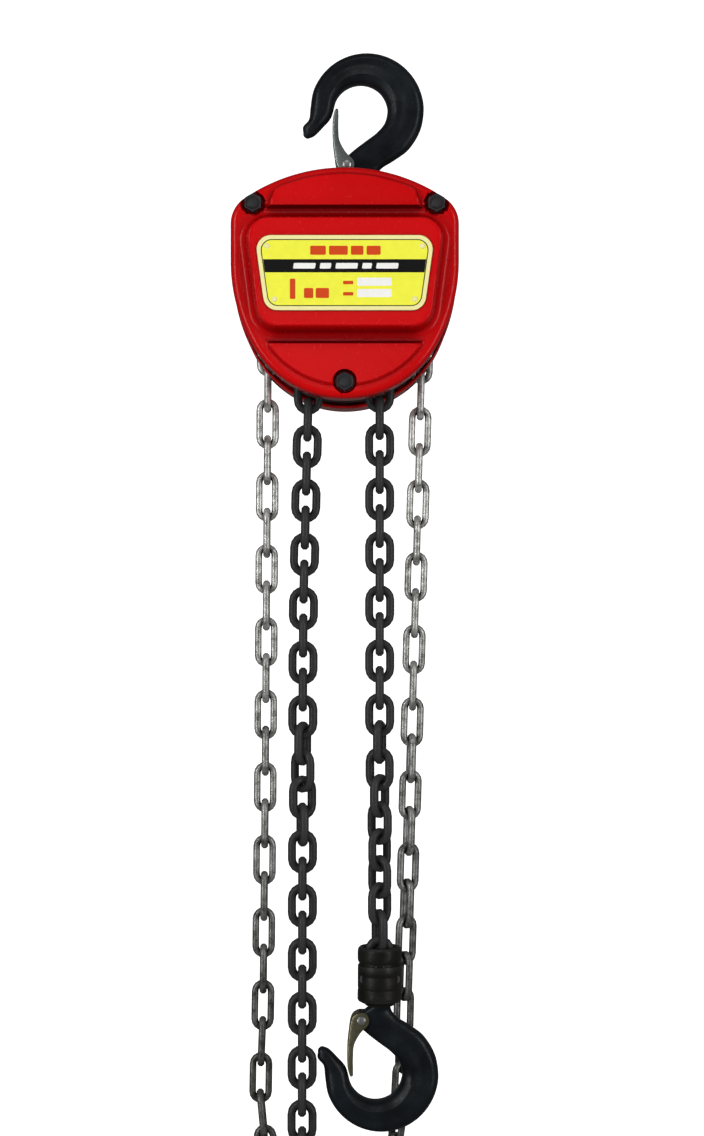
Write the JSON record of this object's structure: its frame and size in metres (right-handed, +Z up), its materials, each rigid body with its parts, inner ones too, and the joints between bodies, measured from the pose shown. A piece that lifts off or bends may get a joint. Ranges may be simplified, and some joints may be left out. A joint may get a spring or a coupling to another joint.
{
  "type": "chain hoist",
  "caption": "Hand-operated chain hoist with safety-latch hooks, geared load sheave, load brake, load chain with swivel bottom hook and hand chain.",
  "frame": {"origin": "seat of the top hook: the inside top of its bowl, on the shank axis", "axes": "+Z up along the top hook's shank, +X to the right seen from the front, front (gear cover and name plate) towards -Y"},
  "size_m": [0.151, 0.1343, 1.0906],
  "materials": {
    "hook_black": "satin",
    "yoke_black": "satin",
    "latch_zinc": "satin",
    "fastener_steel": "satin",
    "nut_black": "satin",
    "plate_black": "satin",
    "cover_red": "gloss",
    "name_plate": "gloss",
    "gear_steel": "satin",
    "wheel_black": "matte",
    "brake_lining": "matte",
    "block_black": "satin",
    "load_chain": "satin",
    "hand_chain": "gloss"
  },
  "bodies": {
    "suspension_hook": {"top_hook": "hook_black", "top_latch_pin": "fastener_steel", "top_hook_nut": "fastener_steel"},
    "top_latch_body": {"top_latch": "latch_zinc"},
    "yoke": {"top_yoke": "yoke_black"},
    "frame": {"front_side_plate": "plate_black", "rear_side_plate": "plate_black", "stay_bolt_left": "fastener_steel", "stay_bolt_right": "fastener_steel", "stay_bolt_bottom": "fastener_steel", "front_nut_left": "nut_black", "front_nut_right": "nut_black", "front_nut_bottom": "nut_black", "rear_nut_left": "nut_black", "rear_nut_right": "nut_black", "rear_nut_bottom": "nut_black", "gear_cover": "cover_red", "wheel_cover": "cover_red", "name_plate": "name_plate", "sheave_bearing_front": "gear_steel", "sheave_bearing_rear": "gear_steel", "chain_stripper": "plate_black", "ratchet_disc": "gear_steel", "pawl_pin_left": "fastener_steel", "pawl_pin_right": "fastener_steel", "load_chain_wrap": "load_chain", "load_chain_live": "load_chain", "load_chain_slack": "load_chain", "hand_chain_wrap": "hand_chain", "hand_chain_left": "hand_chain", "hand_chain_right": "hand_chain", "hand_chain_hank": "hand_chain"},
    "roller_left": {"guide_roller_left": "gear_steel"},
    "roller_right": {"guide_roller_right": "gear_steel"},
    "sheave": {"load_sheave": "gear_steel", "load_gear": "gear_steel", "gear_retaining_ring": "fastener_steel"},
    "drive": {"drive_shaft": "gear_steel", "brake_hub": "gear_steel", "friction_disc_front": "brake_lining", "friction_disc_rear": "brake_lining", "hand_wheel": "wheel_black", "shaft_nut": "fastener_steel"},
    "gear_pair_left": {"disc_gear_left": "gear_steel", "pinion_shaft_left": "gear_steel"},
    "gear_pair_right": {"disc_gear_right": "gear_steel", "pinion_shaft_right": "gear_steel"},
    "pawl_left_body": {"pawl_left": "gear_steel"},
    "pawl_right_body": {"pawl_right": "gear_steel"},
    "load_block": {"block_shell_front": "block_black", "block_shell_rear": "block_black", "chain_pin": "fastener_steel", "block_bolt_left": "fastener_steel", "block_bolt_right": "fastener_steel"},
    "swivel_hook": {"load_hook": "hook_black", "load_latch_pin": "fastener_steel"},
    "load_latch_body": {"load_latch": "latch_zinc"},
    "slack_end": {"load_chain_hank": "load_chain"}
  },
  "joints": [
    {"name": "top_hook_swivel", "type": "hinge", "parent": "suspension_hook", "child": "yoke", "pos_m": [0, 0, -0.076], "axis": [0, 0, 1], "continuous": true},
    {"name": "body_swing", "type": "hinge", "parent": "yoke", "child": "frame", "pos_m": [0, 0, -0.076], "axis": [0, 1, 0], "range_deg": [0, 11]},
    {"name": "top_latch_swing", "type": "hinge", "parent": "suspension_hook", "child": "top_latch_body", "pos_m": [-0.0122, 0, -0.054], "axis": [0, 1, 0], "range_deg": [0, 35], "stiffness_Nm_per_rad": 0.02, "springref_deg": -34.38},
    {"name": "guide_roller_left_spin", "type": "hinge", "parent": "frame", "child": "roller_left", "pos_m": [-0.05374, 0, -0.158], "axis": [0, 1, 0], "continuous": true},
    {"name": "guide_roller_right_spin", "type": "hinge", "parent": "frame", "child": "roller_right", "pos_m": [0.02694, 0, -0.158], "axis": [0, 1, 0], "continuous": true},
    {"name": "hand_wheel_spin", "type": "hinge", "parent": "frame", "child": "drive", "pos_m": [-0.0134, 0, -0.128], "axis": [0, -1, 0], "range_deg": [0, 14580]},
    {"name": "disc_gear_left_spin", "type": "hinge", "parent": "frame", "child": "gear_pair_left", "pos_m": [-0.04777, 0, -0.128], "axis": [0, -1, 0], "range_deg": [-3240, 0]},
    {"name": "disc_gear_right_spin", "type": "hinge", "parent": "frame", "child": "gear_pair_right", "pos_m": [0.02098, 0, -0.128], "axis": [0, -1, 0], "range_deg": [-3240, 0]},
    {"name": "load_sheave_spin", "type": "hinge", "parent": "frame", "child": "sheave", "pos_m": [-0.0134, 0, -0.128], "axis": [0, -1, 0], "range_deg": [0, 720]},
    {"name": "load_lift", "type": "slide", "parent": "frame", "child": "load_block", "axis": [0, 0, 1], "range_m": [0, 0.288], "deforming": ["load_chain_live"]},
    {"name": "slack_run_out", "type": "slide", "parent": "frame", "child": "slack_end", "axis": [0, 0, -1], "range_m": [0, 0.288]},
    {"name": "pawl_left_swing", "type": "hinge", "parent": "frame", "child": "pawl_left_body", "pos_m": [-0.04891, 0, -0.1485], "axis": [0, 1, 0], "range_deg": [0, 20], "stiffness_Nm_per_rad": 0.01, "springref_deg": -28.65},
    {"name": "pawl_right_swing", "type": "hinge", "parent": "frame", "child": "pawl_right_body", "pos_m": [0.02211, 0, -0.1075], "axis": [0, 1, 0], "range_deg": [0, 20], "stiffness_Nm_per_rad": 0.01, "springref_deg": -28.65},
    {"name": "load_hook_swivel", "type": "hinge", "parent": "load_block", "child": "swivel_hook", "pos_m": [0.00974, 0, -0.613], "axis": [0, 0, 1], "continuous": true},
    {"name": "load_latch_swing", "type": "hinge", "parent": "swivel_hook", "child": "load_latch_body", "pos_m": [-0.00246, 0, -0.622], "axis": [0, -1, 0], "range_deg": [0, 35], "stiffness_Nm_per_rad": 0.02, "springref_deg": -34.38}
  ],
  "couplings": [
    {"joint": "disc_gear_left_spin", "follows": "hand_wheel_spin", "ratio": -0.22222},
    {"joint": "disc_gear_right_spin", "follows": "hand_wheel_spin", "ratio": -0.22222},
    {"joint": "load_sheave_spin", "follows": "hand_wheel_spin", "ratio": 0.049383},
    {"joint": "load_lift", "follows": "hand_wheel_spin", "m_per_rad": 0.0011318},
    {"joint": "slack_run_out", "follows": "hand_wheel_spin", "m_per_rad": 0.0011318}
  ]
}
